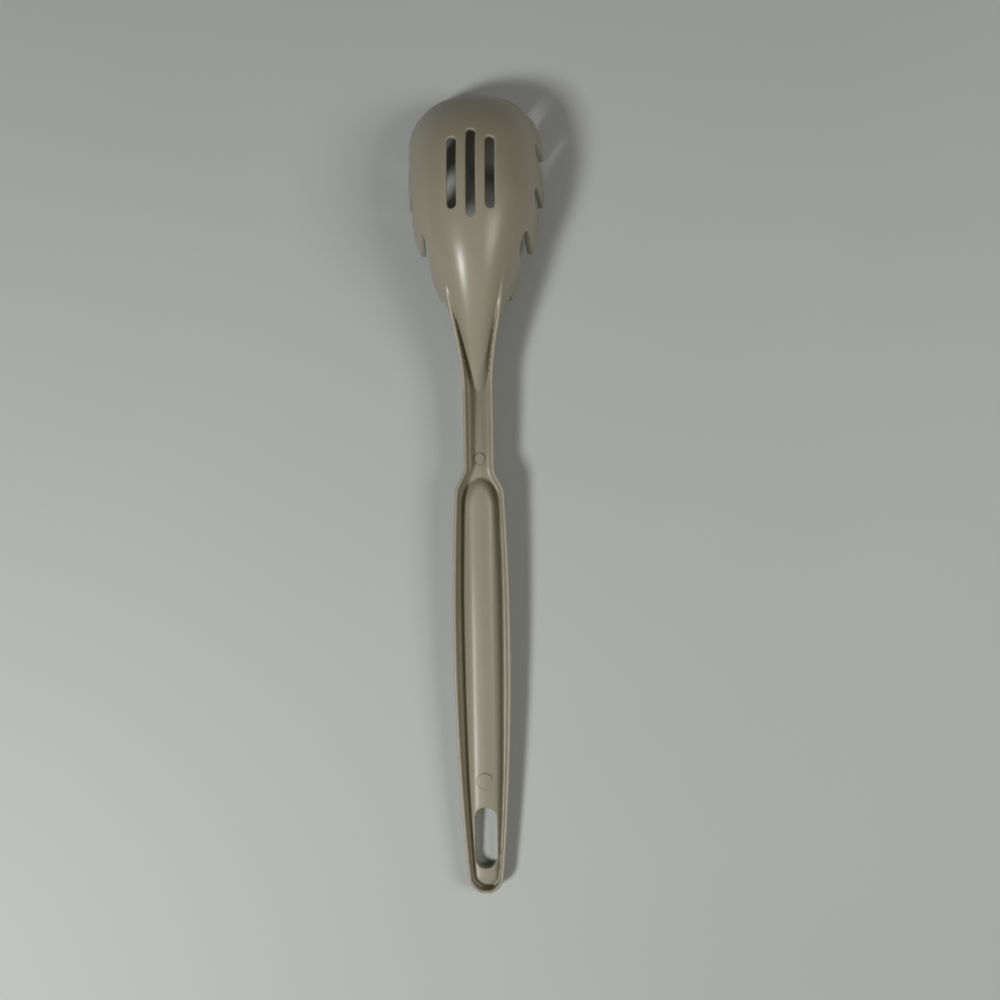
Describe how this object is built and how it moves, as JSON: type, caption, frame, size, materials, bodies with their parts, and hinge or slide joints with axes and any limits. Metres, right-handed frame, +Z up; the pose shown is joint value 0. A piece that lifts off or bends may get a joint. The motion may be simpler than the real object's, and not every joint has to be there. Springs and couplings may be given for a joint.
{
  "type": "pasta server",
  "caption": "One-piece moulded pasta server with a deep slotted bowl, tines round its rim, a channelled neck, and a hollow-backed handle with a hanging slot.",
  "frame": {"origin": "centre of the footprint, on the surface that the server lies on face down", "axes": "+Y along the handle from the hanging end to the front tine, +X across to the right seen from above, +Z up through the back of the bowl"},
  "size_m": [0.052, 0.3062, 0.0399],
  "materials": {
    "moulding": "satin moulded nylon, warm grey-beige"
  },
  "bodies": {
    "root": {"hanging_end": "moulding", "grip": "moulding", "neck": "moulding", "bowl": "moulding", "tine_front": "moulding", "tine_left_1": "moulding", "tine_left_2": "moulding", "tine_left_3": "moulding", "tine_left_4": "moulding", "tine_left_5": "moulding", "tine_right_1": "moulding", "tine_right_2": "moulding", "tine_right_3": "moulding", "tine_right_4": "moulding", "tine_right_5": "moulding"}
  },
  "joints": []
}
